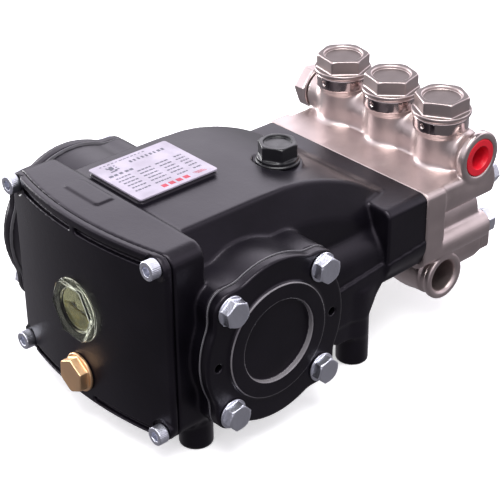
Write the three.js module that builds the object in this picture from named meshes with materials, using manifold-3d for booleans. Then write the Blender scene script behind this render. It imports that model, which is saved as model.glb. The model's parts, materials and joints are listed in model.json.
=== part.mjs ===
// Three-cylinder plunger pump for a pressure washer, in millimetres, +Z up.
// While it is being designed, X is the crank axis, +Y points to the wet end and the origin
// is on the crank axis below the middle cylinder. The finished group stands on Z = 0,
// centred on its own box.
import * as THREE from "three";
import { ConvexGeometry } from "three/addons/geometries/ConvexGeometry.js";
import { mergeVertices } from "three/addons/utils/BufferGeometryUtils.js";
import Module from "manifold-3d";

const wasm = await Module();
wasm.setup();

// ---- Driving dimensions ----
const gap = 0.3; // between pieces that touch on the real pump
const cylinderPitch = 38.7;
const cylinderX = [-cylinderPitch, 0, cylinderPitch];
const crankAngles = [0, 120, 240];
const crankThrow = 5.5;
const plungerRadius = 10;

const boltRadius = 4; // M8
const boltHoleRadius = 4.3;
const boltHeadFlats = 13;
const boltHeadHeight = 5.3;
const washerRadius = 8;
const washerHeight = 1.1;
const screwHeadRadius = 5; // M6 socket head

// Crankcase
const boxHalfWidth = 63.6;
const boxFrontY = -32.2;
const boxBottomZ = -44.7;
const boxTopZ = 61.3;
const bowCentreY = 163; // the rear cover is bowed about a vertical line here
const coverOuterBow = 228;
const coverThickness = 4;
const bodyHalfWidth = 43.5; // of its flat top
const shoulderHalfWidth = 52; // where the sloping shoulders meet the upright walls
const shoulderDrop = 21.8;
const bodyTopZ = 59.3;
const jointY = 122.4; // face that the wet end bolts to
const flangeBackY = 93;
const flangeHalfWidth = 65;
const flangeTopZ = 30.6;
const flangeBottomZ = -17;
const flankHalfWidth = 61.5;
const bearingBossRadius = 44;
const blindFaceX = 78.2;
const shaftFaceX = -96.6;
const coverFlangeThickness = 6;
const blindFlangeBackX = blindFaceX - coverFlangeThickness;
const shaftFlangeBackX = shaftFaceX + coverFlangeThickness;
const lugOffset = 30.1;
const lugRadius = 9;
const crankBoreRadius = 37.8;
const guideTubeRadius = 21.7;
const guideBoreRadius = 17.3;
const guideBoreEndY = 92;
const coverScrewHoleRadius = 3.3; // M6
const platePadHeight = 1.9; // the nameplate's seat stands proud of the body
const footZ = -59;
const footRadius = 9;
const footX = 53.3;
const rearFootY = -33.6;
const frontFootY = 78.4;

// Running gear
const shaftRadius = 12;
const shaftEndX = -134.5;
const bearingRadius = 31; // 30 x 62 x 16 ball bearings
const bearingBoreRadius = 15;
const bearingWidth = 16;
const blindBearingX = 50.5; // inner face of each bearing
const shaftBearingX = -70;
const eccentricRadius = 20.4;
const rodLength = 62;
const smallEndRadius = 6.5;
const crossheadBackY = 48;
const plungerSeatY = 93; // where the plunger meets the crosshead, at mid stroke
const plungerEndY = 150;

// Wet end
const turretY = 158.7;
const capTopZ = 70.8;
const outletCapFlats = 27;
const inletCapFlats = 25;
const capRecessShare = 0.4; // radius of the recess, as a share of the width across flats
const capRecessDepth = 2.4;
const collarTopZ = 60;
const outletY = 164.2;
const outletZ = 39.1;
const outletFaceX = 64.3;
const plugLipRadius = 10.7; // the transport plug's lip lies in a shallow seat in the port
const plugLipDepth = 1.8;
const inletY = 143;
const inletZ = -29.5;
const inletFaceX = 62.1;
const inletBoreRadius = 9.4; // G1/2
const inletValveZ = -26;
const wetFrontY = 178;
const outletGalleryEndX = -62;
const shelfEndX = 64; // a square shelf runs over the upper row of bolts
const shelfBottomZ = 12.5;
const inletFrontY = 182.5;
const valveBoreRadius = 11;
const wetBoltX = [-55.5, -cylinderPitch / 2, cylinderPitch / 2, 55.5];
const wetBoltZ = [21, -10];

// Rear cover fittings
const sightGlassZ = 8.9;
const drainZ = -28.8;
const capX = 15;
const capY = 58;
const capSeatZ = 55.4;

// Sides of a round surface, by its size
const broad = 30;
const middling = 18;
const small = 12;
const tiny = 8;

// ---- Solids ----
// An axis is "X", "Y" or "Z"; an outline or a centre is given in the other two, in that order.
const turnFrom = {
  X: new THREE.Matrix4().set(0, 0, 1, 0, 1, 0, 0, 0, 0, 1, 0, 0, 0, 0, 0, 1),
  Y: new THREE.Matrix4().set(1, 0, 0, 0, 0, 0, 1, 0, 0, -1, 0, 0, 0, 0, 0, 1),
  Z: new THREE.Matrix4(),
};
const flat = (axis, [a, b]) => new THREE.Vector2(a, axis === "Y" ? -b : b);

function solid(geometry) {
  const bare = new THREE.BufferGeometry();
  bare.setAttribute("position", geometry.getAttribute("position"));
  bare.setIndex(geometry.getIndex());
  const merged = mergeVertices(bare, 1e-4);
  const corners = [];
  for (let i = 0; i < merged.index.count; i += 3) {
    const [a, b, c] = [0, 1, 2].map((k) => merged.index.getX(i + k));
    if (a !== b && b !== c && c !== a) corners.push(a, b, c);
  }
  const build = (triVerts) =>
    new wasm.Manifold(
      new wasm.Mesh({
        numProp: 3,
        vertProperties: merged.attributes.position.array,
        triVerts: new Uint32Array(triVerts),
      }),
    );
  const made = build(corners);
  return made.volume() > 0 ? made : build(corners.reverse());
}

function prism(axis, outline, low, high) {
  const shape = new THREE.Shape(outline.map((point) => flat(axis, point)));
  const geometry = new THREE.ExtrudeGeometry(shape, {
    depth: high - low,
    bevelEnabled: false,
  });
  return solid(geometry.translate(0, 0, low).applyMatrix4(turnFrom[axis]));
}

// profile is a list of [radius, place along the axis]
function turned(axis, centre, profile, segments = middling) {
  const points = profile.map(([radius, place]) => new THREE.Vector2(radius, place));
  const geometry = new THREE.LatheGeometry(points, segments).rotateX(Math.PI / 2);
  const at = flat(axis, centre);
  return solid(geometry.translate(at.x, at.y, 0).applyMatrix4(turnFrom[axis]));
}

function rod(axis, centre, radius, low, high, segments = middling) {
  const profile = [[0, low], [radius, low], [radius, high], [0, high]];
  return turned(axis, centre, profile, segments);
}

function ring(axis, centre, inner, outer, low, high, segments = middling) {
  const profile = [[inner, low], [outer, low], [outer, high], [inner, high], [inner, low]];
  return turned(axis, centre, profile, segments);
}

function hexagon(axis, [a, b], flats, low, high, turn = 0) {
  const corner = flats / Math.sqrt(3);
  const outline = [0, 1, 2, 3, 4, 5].map((k) => {
    const angle = turn + (k * Math.PI) / 3;
    return [a + corner * Math.cos(angle), b + corner * Math.sin(angle)];
  });
  return prism(axis, outline, low, high);
}

function arc(a, b, radius, startDegrees, endDegrees, steps) {
  return Array.from({ length: steps + 1 }, (_, k) => {
    const angle = THREE.MathUtils.degToRad(
      startDegrees + ((endDegrees - startDegrees) * k) / steps,
    );
    return [a + radius * Math.cos(angle), b + radius * Math.sin(angle)];
  });
}

function roundedRectangle(halfWidth, bottom, top, bottomRadius, topRadius, steps = 5) {
  return [
    ...arc(halfWidth - bottomRadius, bottom + bottomRadius, bottomRadius, -90, 0, steps),
    ...arc(halfWidth - topRadius, top - topRadius, topRadius, 0, 90, steps),
    ...arc(topRadius - halfWidth, top - topRadius, topRadius, 90, 180, steps),
    ...arc(bottomRadius - halfWidth, bottom + bottomRadius, bottomRadius, 180, 270, steps),
  ];
}

const box3 = ([x0, y0, z0], [x1, y1, z1]) =>
  prism("Z", [[x0, y0], [x1, y0], [x1, y1], [x0, y1]], z0, z1);

const join = (...pieces) => pieces.flat().reduce((sum, piece) => sum.add(piece));
const cut = (body, ...tools) => tools.flat().reduce((rest, tool) => rest.subtract(tool), body);

function geometryOf(made) {
  const mesh = made.getMesh();
  const geometry = new THREE.BufferGeometry();
  geometry.setAttribute("position", new THREE.BufferAttribute(mesh.vertProperties, 3));
  geometry.setIndex(new THREE.BufferAttribute(mesh.triVerts, 1));
  return geometry;
}

// ---- Materials ----
const finish = (color, roughness, metalness) =>
  new THREE.MeshStandardMaterial({ color, roughness, metalness });
const blackPaint = finish(0x17151b, 0.42, 0);
const blackPlastic = finish(0x0d0d10, 0.35, 0);
const nickel = finish(0xb3a29f, 0.3, 1);
const zinc = finish(0xb9bcc4, 0.3, 1);
const steel = finish(0x8e9196, 0.35, 1);
const aluminium = finish(0xa8a9ab, 0.45, 1);
const brass = finish(0xb9783c, 0.3, 1);
const ceramic = finish(0xefeee8, 0.2, 0);
const rubber = finish(0x141414, 0.8, 0);
const clearPlastic = finish(0x9a8b2e, 0.1, 0);
const redPlastic = finish(0xc8141e, 0.35, 0);
const labelFilm = finish(0xdad6ea, 0.45, 0);

const pump = new THREE.Group();

function addPiece(name, made, material) {
  const mesh = new THREE.Mesh(geometryOf(made), material);
  mesh.name = name;
  pump.add(mesh);
  return mesh;
}

// Fasteners are made once, seated at their own origin with the head towards +Z.
const headDirection = {
  "+X": new THREE.Vector3(1, 0, 0),
  "-X": new THREE.Vector3(-1, 0, 0),
  "+Y": new THREE.Vector3(0, 1, 0),
  "-Y": new THREE.Vector3(0, -1, 0),
};

function addFastener(name, made, material, direction, place) {
  const mesh = addPiece(name, made, material);
  mesh.quaternion.setFromUnitVectors(new THREE.Vector3(0, 0, 1), headDirection[direction]);
  mesh.position.set(...place);
}

const bow = (radius, halfWidth, steps) => {
  const half = THREE.MathUtils.radToDeg(Math.asin(halfWidth / radius));
  return arc(0, bowCentreY, radius, -90 - half, -90 + half, steps);
};
const coverInnerBow = coverOuterBow - coverThickness;
const lugs = [-1, 1].flatMap((y) => [-1, 1].map((z) => [y * lugOffset, z * lugOffset]));
const coverScrews = [
  [-57.6, 56.0],
  [57.6, 56.0],
  [-57.6, -39.5],
  [57.6, -39.5],
];
const coverScrewY = -57.5;

// ---- Crankcase: one hollow casting ----
function makeCrankcase() {
  const boxPlan = [
    [-boxHalfWidth, boxFrontY],
    ...bow(coverInnerBow - gap, boxHalfWidth, 12),
    [boxHalfWidth, boxFrontY],
  ];
  const boxFront = roundedRectangle(boxHalfWidth, boxBottomZ, boxTopZ, 8, 8);
  const box = prism("Z", boxPlan, boxBottomZ, boxTopZ).intersect(
    prism("Y", boxFront, -70, boxFrontY + 1),
  );
  const bodySide = [
    [boxFrontY - 6, -20],
    [boxFrontY - 6, bodyTopZ],
    [22, bodyTopZ],
    [41, 58.6],
    [52, 56.8],
    [61, 54.4],
    [69.5, 51.6],
    [81, 46.8],
    [92, 41],
    [101, 34.8],
    [108, flangeTopZ - 0.5],
    [108, -16],
  ];
  const shoulderSide = bodySide.map(([y, z]) => [y, z > 0 ? z - shoulderDrop : z]);
  const bodyCorners = [-1, 1].flatMap((side) => [
    ...bodySide.map(([y, z]) => new THREE.Vector3(side * bodyHalfWidth, y, z)),
    ...shoulderSide.map(([y, z]) => new THREE.Vector3(side * shoulderHalfWidth, y, z)),
  ]);
  const body = solid(new ConvexGeometry(bodyCorners));
  const flange = prism(
    "Y",
    roundedRectangle(flangeHalfWidth, flangeBottomZ, flangeTopZ, 17, 6.5),
    flangeBackY,
    jointY,
  );
  const guideTubes = cylinderX.map((x) => rod("Y", [x, 0], guideTubeRadius, 28, jointY, broad));
  const flankSide = [
    [34, -28],
    [34, -7.6],
    [112, 1.4],
    [112, -12],
    [92, -13],
    [80, -28],
  ];
  const flank = prism("X", flankSide, -flankHalfWidth, flankHalfWidth);
  const bossEnds = [shaftFlangeBackX + gap, blindFlangeBackX - gap];
  const bearingBoss = rod("X", [0, 0], bearingBossRadius, ...bossEnds, broad);
  const lugRibs = lugs.map((at) => rod("X", at, lugRadius, ...bossEnds, small));
  const feet = [-footX, footX].flatMap((x) => [
    rod("Z", [x, rearFootY], footRadius, footZ, boxBottomZ + 2, small),
    rod("Z", [x, frontFootY], footRadius, footZ, -12, small),
  ]);
  const frontWeb = box3([-footX, frontFootY - 3, -44], [footX, frontFootY + 3, -16]);
  const plateSeat = box3([-35, -31, bodyTopZ - 1], [12, 22.5, bodyTopZ + platePadHeight]);
  const fillerBoss = rod("Z", [capX, capY], 13.5, 48, capSeatZ);

  const crankBore = rod("X", [0, 0], crankBoreRadius, -100, 100, broad);
  const sump = prism("Y", roundedRectangle(50, -38, 49, 6, 6), -70, -36);
  const upperRoomSide = [
    [-24, 22],
    [-24, 54],
    [30, 54],
    [56, 50],
    [70, 43],
    [70, 24],
  ];
  const upperRoom = prism("X", upperRoomSide, -38, 38);
  const guideBores = cylinderX.map((x) => rod("Y", [x, 0], guideBoreRadius, 20, guideBoreEndY));
  const plungerBores = cylinderX.map((x) => rod("Y", [x, 0], plungerRadius + 0.6, 80, jointY + 1));
  const fillerHole = rod("Z", [capX, capY], 8, 45, 60, small);
  const fillerSeat = rod("Z", [capX, capY], 13.5, capSeatZ, 62);
  const lugHoles = lugs.map((at) => [
    rod("X", at, boltHoleRadius, 48, 80, tiny),
    rod("X", at, boltHoleRadius, -98, -66, tiny),
  ]);
  const wetBoltHoles = wetBoltX.flatMap((x) =>
    wetBoltZ.map((z) => rod("Y", [x, z], boltHoleRadius, 103, jointY + 1, tiny)),
  );
  const screwHoles = coverScrews.map((at) => rod("Y", at, coverScrewHoleRadius, -60, -40, tiny));
  const footHoles = [-footX, footX].flatMap((x) =>
    [rearFootY, frontFootY].map((y) => rod("Z", [x, y], 3.4, footZ - 1, footZ + 14, tiny)),
  );

  const casting = join(
    box, body, flange, guideTubes, flank, bearingBoss, lugRibs, feet, frontWeb, plateSeat, fillerBoss,
  );
  return cut(
    casting,
    crankBore, sump, upperRoom, guideBores, plungerBores, fillerHole, fillerSeat,
    lugHoles.flat(), wetBoltHoles, screwHoles, footHoles,
  );
}

// ---- Rear cover, bowed, with shallow pockets along its top and bottom edges ----
function makeRearCover() {
  const plan = [
    ...bow(coverOuterBow, boxHalfWidth, 12),
    ...bow(coverInnerBow, boxHalfWidth, 12).reverse(),
  ];
  const front = roundedRectangle(boxHalfWidth, boxBottomZ, boxTopZ, 8, 8);
  const plate = prism("Z", plan, boxBottomZ, boxTopZ).intersect(prism("Y", front, -80, -40));
  const bosses = coverScrews.map((at) => rod("Y", at, 7, coverScrewY, -55, small));
  const trimmed = join(plate, bosses).intersect(prism("Y", front, -80, -52.6));
  const pocketDepth = 2.6;
  const pocketPlan = [
    ...bow(coverOuterBow + 5, 70, 12),
    ...bow(coverOuterBow - pocketDepth, 70, 12).reverse(),
  ];
  const pocket = (fromX, toX, low, high) =>
    prism("Z", pocketPlan, low, high).intersect(box3([fromX, -80, low], [toX, -40, high]));
  return cut(
    trimmed,
    pocket(-50, -1.5, 53.8, 57.2),
    pocket(2.5, 50, 53.8, 57.2),
    pocket(-50, -18, -43, -39.8),
    pocket(9, 50, -43, -39.8),
    coverScrews.map((at) => rod("Y", at, 7, -70, coverScrewY, small)),
    coverScrews.map((at) => rod("Y", at, coverScrewHoleRadius, -70, -50, tiny)),
    rod("Y", [0, sightGlassZ], 12.4, -80, -50),
    rod("Y", [0, drainZ], 6.9, -80, -50, small),
  );
}

// ---- Bearing covers ----
const jackHoleY = 38; // threaded holes for jacking the blind cover off

const coverOutline = (from, to) =>
  join(
    rod("X", [0, 0], bearingBossRadius + 1.2, from, to, broad),
    lugs.map((at) => rod("X", at, lugRadius, from, to, small)),
  );

function makeBlindCover() {
  const cup = rod("X", [0, 0], crankBoreRadius - gap, 49, blindFlangeBackX + 1, broad);
  const raisedRing = rod("X", [0, 0], 31.5, blindFaceX - 1, blindFaceX + 1.8, broad);
  return cut(
    join(coverOutline(blindFlangeBackX, blindFaceX), cup, raisedRing),
    rod("X", [0, 0], bearingRadius + gap + 0.2, 48, 67.5),
    rod("X", [0, 0], 22.7, blindFaceX - 1.4, 90, broad),
    lugs.map((at) => rod("X", at, boltHoleRadius, 60, 90, tiny)),
    [-jackHoleY, jackHoleY].map((y) => rod("X", [y, 0], 2.25, blindFaceX - 4.5, 90, tiny)),
  );
}

const spigotFaceX = shaftFaceX - 2.9;

function makeShaftCover() {
  const cup = rod("X", [0, 0], crankBoreRadius - gap, shaftFlangeBackX - 1, -66, broad);
  const spigot = rod("X", [0, 0], bearingBossRadius, spigotFaceX, shaftFaceX + 1, broad);
  return cut(
    join(coverOutline(shaftFaceX, shaftFlangeBackX), cup, spigot),
    rod("X", [0, 0], bearingRadius + gap + 0.2, -87, -65),
    rod("X", [0, 0], 20, -110, -86),
    lugs.map((at) => rod("X", at, washerRadius + 0.8, spigotFaceX - 1, shaftFaceX, small)),
    lugs.map((at) => rod("X", at, boltHoleRadius, -110, -80, tiny)),
  );
}

// ---- Fasteners ----
function makeHexBolt(shankLength, flangeRadius) {
  return join(
    rod("Z", [0, 0], flangeRadius, gap, gap + washerHeight, small),
    hexagon("Z", [0, 0], boltHeadFlats, gap + 1, gap + washerHeight + boltHeadHeight),
    rod("Z", [0, 0], boltRadius, -shankLength, gap + 1, tiny),
  );
}

function makeSocketScrew() {
  return cut(
    join(
      rod("Z", [0, 0], screwHeadRadius, gap, 6, small),
      rod("Z", [0, 0], 3, -12, gap + 1, tiny),
    ),
    hexagon("Z", [0, 0], 5, 3, 7),
  );
}

// ---- Running gear ----
const crankPins = crankAngles.map((degrees) => {
  const angle = THREE.MathUtils.degToRad(degrees);
  return [crankThrow * Math.cos(angle), crankThrow * Math.sin(angle)];
});

function makeCrankshaft() {
  const shaft = turned("X", [0, 0], [
    [0, shaftEndX],
    [shaftRadius - 1, shaftEndX],
    [shaftRadius, shaftEndX + 1],
    [shaftRadius, -86.6],
    [bearingBoreRadius, -86.6],
    [bearingBoreRadius, -69.7],
    [18, -69.7],
    [18, -64],
    [14, -64],
    [14, 46.8],
    [18, 46.8],
    [18, 50.2],
    [bearingBoreRadius, 50.2],
    [bearingBoreRadius, 66.8],
    [0, 66.8],
  ]);
  const eccentrics = cylinderX.map((x, k) =>
    rod("X", crankPins[k], eccentricRadius, x - 7.5, x + 7.5),
  );
  const keyway = box3([-132, -4.3, 8], [-101.2, 4.3, 20]);
  return cut(join(shaft, eccentrics), keyway);
}

function makeConRod() {
  const bigEnd = rod("X", [0, 0], 27, -6.5, 6.5);
  const shankSide = [
    [20, -7],
    [rodLength, -4.5],
    [rodLength, 4.5],
    [20, 7],
  ];
  const shank = prism("X", shankSide, -4.5, 4.5);
  const smallEnd = rod("X", [rodLength, 0], smallEndRadius, -6, 6, small);
  const wristPin = rod("X", [rodLength, 0], 4, -8, 8, tiny);
  const bigEndBore = rod("X", [0, 0], eccentricRadius + 0.8, -10, 10);
  return cut(join(bigEnd, shank, smallEnd, wristPin), bigEndBore);
}

function makeCrosshead() {
  return turned("Y", [0, 0], [
    [14.8, crossheadBackY],
    [17, crossheadBackY],
    [17, 85],
    [7, 85],
    [7, plungerSeatY],
    [0, plungerSeatY],
    [0, 80.4],
    [14.8, 80.4],
    [14.8, crossheadBackY],
  ]);
}

function makePlunger() {
  return turned("Y", [0, 0], [
    [0, plungerSeatY + gap],
    [plungerRadius, plungerSeatY + gap],
    [plungerRadius, plungerEndY - 1],
    [plungerRadius - 1, plungerEndY],
    [0, plungerEndY],
  ]);
}

// ---- Wet end block ----
function makeWetEnd() {
  const face = jointY + gap;
  const plate = prism(
    "Y",
    roundedRectangle(flangeHalfWidth, flangeBottomZ, flangeTopZ, 17, 3),
    face,
    137,
  );
  const coreSide = [
    [130, -14],
    [130, flangeTopZ],
    [151, flangeTopZ],
    [outletY, outletZ + 8],
    [172, outletZ],
    [176, 28],
    [176, -14],
  ];
  const core = prism("X", coreSide, -52, 52);
  const shelf = box3(
    [outletGalleryEndX, face, shelfBottomZ],
    [shelfEndX, wetFrontY, flangeTopZ],
  );
  const chambers = cylinderX.map((x) => rod("Y", [x, 0], 19, face, wetFrontY - 4));
  const inletChambers = cylinderX.map((x) =>
    rod("Y", [x, inletValveZ], 15.3, inletY - 8, inletFrontY),
  );
  const boltBosses = wetBoltX.flatMap((x) =>
    wetBoltZ.map((z) => rod("Y", [x, z], 8.5, face, wetFrontY, small)),
  );
  const turrets = cylinderX.map((x) =>
    turned("Z", [x, turretY], [
      [0, 20],
      [19, 20],
      [17, 30],
      [14.6, 35],
      [14, 40],
      [14, 51],
      [16, 52.5],
      [16, collarTopZ],
      [0, collarTopZ],
    ]),
  );
  const outletGallery = rod("X", [outletY, outletZ], 13, outletGalleryEndX, 52);
  const outletPort = turned("X", [outletY, outletZ], [
    [0, 40],
    [13, 40],
    [13, 58],
    [15, 61],
    [15, outletFaceX],
    [0, outletFaceX],
  ], broad);
  const inletGallery = rod("X", [inletY, inletZ], 13.6, -inletFaceX + 2, 54);
  const inletPort = turned("X", [inletY, inletZ], [
    [0, 40],
    [12.4, 40],
    [12.4, 57.6],
    [14, 58.6],
    [14, inletFaceX],
    [0, inletFaceX],
  ], broad);

  const packingBores = cylinderX.map((x) => rod("Y", [x, 0], 13.8, face - 1, 141.3));
  const pumpChambers = cylinderX.map((x) => rod("Y", [x, 0], 11.5, 130, 170));
  const outletBores = cylinderX.flatMap((x) => [
    rod("Z", [x, turretY], valveBoreRadius, 24, 70),
    rod("Z", [x, turretY], 7, 0, 30, tiny),
  ]);
  const inletBores = cylinderX.flatMap((x) => [
    rod("Y", [x, inletValveZ], valveBoreRadius, 151, 190),
    rod("Y", [x, inletValveZ], 7, 140, 155, tiny),
    rod("Z", [x, 166], 5, inletValveZ, 0, tiny),
  ]);
  const outletPassage = rod("X", [outletY, outletZ], 6, -70, 60, tiny);
  const outletThread = rod("X", [outletY, outletZ], 8.3, 50, 70);
  const sealSeatX = outletFaceX - plugLipDepth;
  const outletSealSeat = rod("X", [outletY, outletZ], plugLipRadius + gap, sealSeatX, 70);
  const plugThread = rod("X", [outletY, outletZ], 6.4, -70, -50, small);
  const inletPassage = rod("X", [inletY, inletZ], inletBoreRadius, -46, 70);
  const boltHoles = wetBoltX.flatMap((x) =>
    wetBoltZ.map((z) => rod("Y", [x, z], boltHoleRadius, face - 1, 190, tiny)),
  );
  return cut(
    join(
      plate, core, shelf, chambers, inletChambers, boltBosses, turrets,
      outletGallery, outletPort, inletGallery, inletPort,
    ),
    packingBores, pumpChambers, outletBores, inletBores,
    outletPassage, outletThread, outletSealSeat, plugThread, inletPassage, boltHoles,
  );
}

// Valve caps are seated at their own origin with the hexagon towards +Z.
function makeValveCap(flats, flangeRadius, shankLength) {
  const height = capTopZ - collarTopZ;
  return cut(
    join(
      rod("Z", [0, 0], flangeRadius, gap, 2.8),
      hexagon("Z", [0, 0], flats, 2.5, height),
      rod("Z", [0, 0], valveBoreRadius - 0.5, -shankLength, 1, small),
    ),
    rod("Z", [0, 0], flats * capRecessShare, height - capRecessDepth, height + 1),
  );
}

const makeValve = (length) => ring("Z", [0, 0], 5, valveBoreRadius - 0.5, 0, length, small);

// ---- Assembly ----
addPiece("crankcase", makeCrankcase(), blackPaint);
addPiece("rear_cover", makeRearCover(), blackPaint);
coverScrews.forEach(([x, z], k) => {
  addFastener(`rear_cover_screw_${k + 1}`, makeSocketScrew(), zinc, "-Y", [x, coverScrewY, z]);
});

const sightGlassSeatY = bowCentreY - coverOuterBow - gap;
addPiece(
  "sight_glass",
  join(
    rod("Y", [0, sightGlassZ], 17.5, sightGlassSeatY - 1.6, sightGlassSeatY, broad),
    hexagon("Y", [0, sightGlassZ], 29, sightGlassSeatY - 3.6, sightGlassSeatY - 1, Math.PI / 6),
    rod("Y", [0, sightGlassZ], 12, sightGlassSeatY - 1, -55),
  ),
  clearPlastic,
);
addPiece(
  "drain_plug",
  join(
    rod("Y", [0, drainZ], 10.7, sightGlassSeatY - 1.8, sightGlassSeatY),
    hexagon("Y", [0, drainZ], 17, sightGlassSeatY - 7, sightGlassSeatY - 1, Math.PI / 6),
    rod("Y", [0, drainZ], 6.5, sightGlassSeatY - 1, -54, tiny),
  ),
  brass,
);
addPiece(
  "oil_filler_cap",
  cut(
    join(
      rod("Z", [capX, capY], 12, capSeatZ + gap, capSeatZ + 2.6),
      hexagon("Z", [capX, capY], 19, capSeatZ + 2, capSeatZ + 11.7, 0.4),
      rod("Z", [capX, capY], 7.6, 47, capSeatZ + 1, small),
    ),
    rod("Z", [capX, capY], 7.8, capSeatZ + 10.7, 80, small),
  ),
  blackPlastic,
);
addPiece(
  "nameplate",
  box3(
    [-33.5, -29.5, bodyTopZ + platePadHeight + gap],
    [10.5, 21, bodyTopZ + platePadHeight + gap + 0.9],
  ),
  labelFilm,
);

addPiece("bearing_cover_blind", makeBlindCover(), blackPaint);
addPiece("bearing_cover_shaft", makeShaftCover(), blackPaint);
lugs.forEach(([y, z], k) => {
  const bolt = makeHexBolt(26, washerRadius);
  addFastener(`blind_cover_bolt_${k + 1}`, bolt, zinc, "+X", [blindFaceX, y, z]);
  addFastener(`shaft_cover_bolt_${k + 1}`, bolt, zinc, "-X", [shaftFaceX, y, z]);
});

const makeBearing = (low) =>
  ring("X", [0, 0], bearingBoreRadius + gap, bearingRadius, low, low + bearingWidth);
addPiece("bearing_blind", makeBearing(blindBearingX), steel);
addPiece("bearing_shaft", makeBearing(shaftBearingX - bearingWidth), steel);
addPiece("shaft_oil_seal", ring("X", [0, 0], shaftRadius + gap, 19.7, -98.4, -91), rubber);
addPiece("crankshaft", makeCrankshaft(), steel);
addPiece("shaft_key", box3([-131.7, -4, 8.3], [-101.5, 4, 15.3]), steel);

cylinderX.forEach((x, k) => {
  const [pinY, pinZ] = crankPins[k];
  const number = k + 1;
  addPiece(`con_rod_${number}`, makeConRod(), aluminium).position.set(x, pinY, pinZ);
  addPiece(`crosshead_${number}`, makeCrosshead(), aluminium).position.set(x, pinY, 0);
  addPiece(`plunger_${number}`, makePlunger(), ceramic).position.set(x, pinY, 0);
  const packing = ring("Y", [x, 0], plungerRadius + gap, 13.5, jointY + 2 * gap, 141);
  addPiece(`plunger_packing_${number}`, packing, rubber);
});

addPiece("wet_end_block", makeWetEnd(), nickel);
cylinderX.forEach((x, k) => {
  const number = k + 1;
  const outletCap = addPiece(`outlet_valve_cap_${number}`, makeValveCap(outletCapFlats, 16.8, 14), nickel);
  outletCap.position.set(x, turretY, collarTopZ);
  addPiece(`outlet_valve_${number}`, makeValve(18), steel).position.set(x, turretY, 24.4);
  const inletCap = makeValveCap(inletCapFlats, 14.6, 16);
  addFastener(`inlet_valve_cap_${number}`, inletCap, nickel, "+Y", [x, inletFrontY, inletValveZ]);
  addFastener(`inlet_valve_${number}`, makeValve(15), steel, "+Y", [x, 151.4, inletValveZ]);
});
wetBoltX.forEach((x, column) => {
  wetBoltZ.forEach((z, row) => {
    const number = column * wetBoltZ.length + row + 1;
    const bolt = makeHexBolt(74, boltHeadFlats / 2);
    addFastener(`wet_end_bolt_${number}`, bolt, zinc, "+Y", [x, wetFrontY, z]);
  });
});
addPiece(
  "outlet_gallery_plug",
  join(
    rod("X", [outletY, outletZ], 13, -64.8, outletGalleryEndX - gap),
    hexagon("X", [outletY, outletZ], 23, -73, -64),
    rod("X", [outletY, outletZ], 6, -63, -51, tiny),
  ),
  nickel,
);
addPiece(
  "outlet_port_plug",
  turned("X", [outletY, outletZ], [
    [5.6, outletFaceX - 11],
    [8, outletFaceX - 11],
    [8, outletFaceX - plugLipDepth + gap],
    [plugLipRadius, outletFaceX - plugLipDepth + gap],
    [plugLipRadius, outletFaceX - 0.1],
    [6.6, outletFaceX - 0.1],
    [5.6, outletFaceX - 11],
  ]),
  redPlastic,
);

// Stand the pump on Z = 0, with its box centred on the origin.
const box = new THREE.Box3().setFromObject(pump);
pump.position.set(-(box.min.x + box.max.x) / 2, -(box.min.y + box.max.y) / 2, -box.min.z);

export default pump;
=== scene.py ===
"""Looks of a three-cylinder pressure washer pump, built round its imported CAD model.

Shapes are written in design millimetres: X along the crank, Y towards the wet end, Z up,
with the origin on the crank axis. The castings are distance fields, negative inside, so
that their joins get cast fillets, and each field is then turned into a mesh.
"""

import itertools
import json
import math
import random

import bpy
import numpy as np
from mathutils import Matrix, Quaternion, Vector


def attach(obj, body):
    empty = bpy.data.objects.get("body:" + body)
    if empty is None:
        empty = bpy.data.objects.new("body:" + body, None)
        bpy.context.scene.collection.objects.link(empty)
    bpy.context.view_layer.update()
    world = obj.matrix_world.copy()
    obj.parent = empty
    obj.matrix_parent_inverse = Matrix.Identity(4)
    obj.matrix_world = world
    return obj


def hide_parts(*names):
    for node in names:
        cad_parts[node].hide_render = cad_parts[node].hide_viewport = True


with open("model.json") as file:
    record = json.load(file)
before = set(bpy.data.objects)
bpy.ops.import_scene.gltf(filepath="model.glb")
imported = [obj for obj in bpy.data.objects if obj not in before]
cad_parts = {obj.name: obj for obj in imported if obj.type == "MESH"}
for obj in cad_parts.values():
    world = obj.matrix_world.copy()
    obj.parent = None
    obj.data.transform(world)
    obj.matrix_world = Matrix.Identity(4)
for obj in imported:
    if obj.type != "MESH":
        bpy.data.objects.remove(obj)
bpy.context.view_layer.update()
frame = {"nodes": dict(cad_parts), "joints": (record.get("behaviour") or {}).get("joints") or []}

MM = 0.001
crank_spin = next(j for j in frame["joints"] if j["name"] == "crank_spin")
ORIGIN = Vector(crank_spin["pos_m"])

# ---- Design dimensions, in mm ----
GAP = 0.3
CYLINDERS = (-38.7, 0.0, 38.7)
SHELF_END, SHELF_LOW = 64.0, 12.5
BOX_HALF, BOX_FRONT, BOX_LOW, BOX_TOP = 63.6, -32.2, -44.7, 61.3
BOW_Y, COVER_BOW, COVER_THICKNESS = 163.0, 228.0, 4.0
BODY_HALF, BODY_TOP = 43.5, 59.3
JOINT_Y, FLANGE_BACK = 122.4, 93.0
FLANGE_HALF, FLANGE_TOP, FLANGE_LOW = 65.0, 30.6, -17.0
BOSS_RADIUS, BLIND_X, SHAFT_X, COVER_FLANGE = 44.0, 78.2, -96.6, 6.0
LUG_OFFSET, LUG_RADIUS = 30.1, 9.0
CRANK_BORE, GUIDE_TUBE, GUIDE_BORE = 37.8, 21.7, 17.3
FOOT_Z, FOOT_RADIUS, FOOT_X = -59.0, 9.0, 53.3
REAR_FOOT_Y, FRONT_FOOT_Y = -33.6, 78.4
TURRET_Y, COLLAR_LOW, COLLAR_TOP, CAP_TOP = 158.7, 52.0, 60.0, 70.8
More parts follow.
